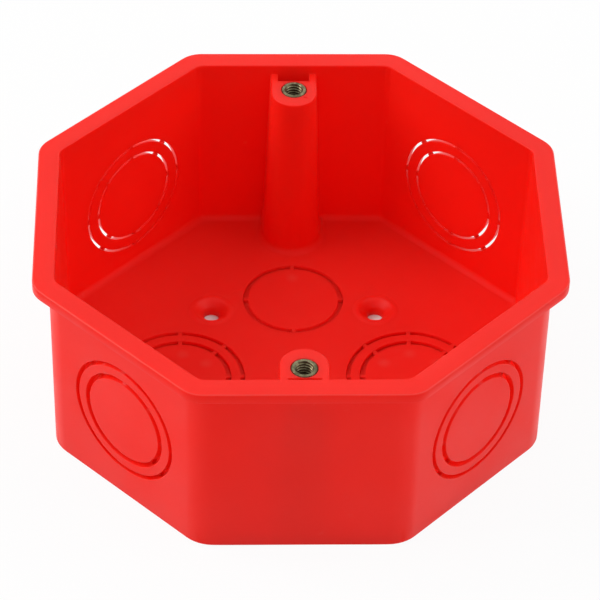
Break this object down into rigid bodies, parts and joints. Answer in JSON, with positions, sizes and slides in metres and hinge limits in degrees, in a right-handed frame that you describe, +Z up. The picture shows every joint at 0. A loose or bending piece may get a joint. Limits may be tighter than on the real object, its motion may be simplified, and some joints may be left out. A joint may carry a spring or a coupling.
{
  "type": "electrical junction box",
  "caption": "Open octagonal moulded junction box with a rim flange, screw posts with threaded brass inserts, and round break-out knock-outs in its diagonal walls and floor.",
  "frame": {"origin": "middle of the underside", "axes": "+Z up out of the open mouth, +Y to the back post, +X to the right"},
  "size_m": [0.108, 0.108, 0.0455],
  "materials": {
    "body_plastic": "satin moulded",
    "insert_brass": "knurled, slightly dull"
  },
  "bodies": {
    "box": {"box_body": "body_plastic", "insert_front": "insert_brass", "insert_back": "insert_brass"},
    "ring_front_left": {"knockout_ring_front_left": "body_plastic"},
    "disc_front_left": {"knockout_disc_front_left": "body_plastic"},
    "ring_front_right": {"knockout_ring_front_right": "body_plastic"},
    "disc_front_right": {"knockout_disc_front_right": "body_plastic"},
    "ring_back_left": {"knockout_ring_back_left": "body_plastic"},
    "disc_back_left": {"knockout_disc_back_left": "body_plastic"},
    "ring_back_right": {"knockout_ring_back_right": "body_plastic"},
    "disc_back_right": {"knockout_disc_back_right": "body_plastic"},
    "ring_floor_left": {"knockout_ring_floor_left": "body_plastic"},
    "disc_floor_left": {"knockout_disc_floor_left": "body_plastic"},
    "ring_floor_right": {"knockout_ring_floor_right": "body_plastic"},
    "disc_floor_right": {"knockout_disc_floor_right": "body_plastic"},
    "disc_floor_back": {"knockout_disc_floor_back": "body_plastic"},
    "disc_floor_front": {"knockout_disc_floor_front": "body_plastic"}
  },
  "joints": [
    {"name": "ring_front_left_push", "type": "slide", "parent": "box", "child": "ring_front_left", "axis": [0.7071, 0.7071, 0], "range_m": [0, 0.006]},
    {"name": "disc_front_left_push", "type": "slide", "parent": "ring_front_left", "child": "disc_front_left", "axis": [0.7071, 0.7071, 0], "range_m": [0, 0.006]},
    {"name": "ring_front_right_push", "type": "slide", "parent": "box", "child": "ring_front_right", "axis": [-0.7071, 0.7071, 0], "range_m": [0, 0.006]},
    {"name": "disc_front_right_push", "type": "slide", "parent": "ring_front_right", "child": "disc_front_right", "axis": [-0.7071, 0.7071, 0], "range_m": [0, 0.006]},
    {"name": "ring_back_left_push", "type": "slide", "parent": "box", "child": "ring_back_left", "axis": [0.7071, -0.7071, 0], "range_m": [0, 0.006]},
    {"name": "disc_back_left_push", "type": "slide", "parent": "ring_back_left", "child": "disc_back_left", "axis": [0.7071, -0.7071, 0], "range_m": [0, 0.006]},
    {"name": "ring_back_right_push", "type": "slide", "parent": "box", "child": "ring_back_right", "axis": [-0.7071, -0.7071, 0], "range_m": [0, 0.006]},
    {"name": "disc_back_right_push", "type": "slide", "parent": "ring_back_right", "child": "disc_back_right", "axis": [-0.7071, -0.7071, 0], "range_m": [0, 0.006]},
    {"name": "ring_floor_left_push", "type": "slide", "parent": "box", "child": "ring_floor_left", "axis": [0, 0, 1], "range_m": [0, 0.006]},
    {"name": "disc_floor_left_push", "type": "slide", "parent": "ring_floor_left", "child": "disc_floor_left", "axis": [0, 0, 1], "range_m": [0, 0.006]},
    {"name": "ring_floor_right_push", "type": "slide", "parent": "box", "child": "ring_floor_right", "axis": [0, 0, 1], "range_m": [0, 0.006]},
    {"name": "disc_floor_right_push", "type": "slide", "parent": "ring_floor_right", "child": "disc_floor_right", "axis": [0, 0, 1], "range_m": [0, 0.006]},
    {"name": "disc_floor_back_push", "type": "slide", "parent": "box", "child": "disc_floor_back", "axis": [0, 0, 1], "range_m": [0, 0.006]},
    {"name": "disc_floor_front_push", "type": "slide", "parent": "box", "child": "disc_floor_front", "axis": [0, 0, 1], "range_m": [0, 0.006]}
  ]
}
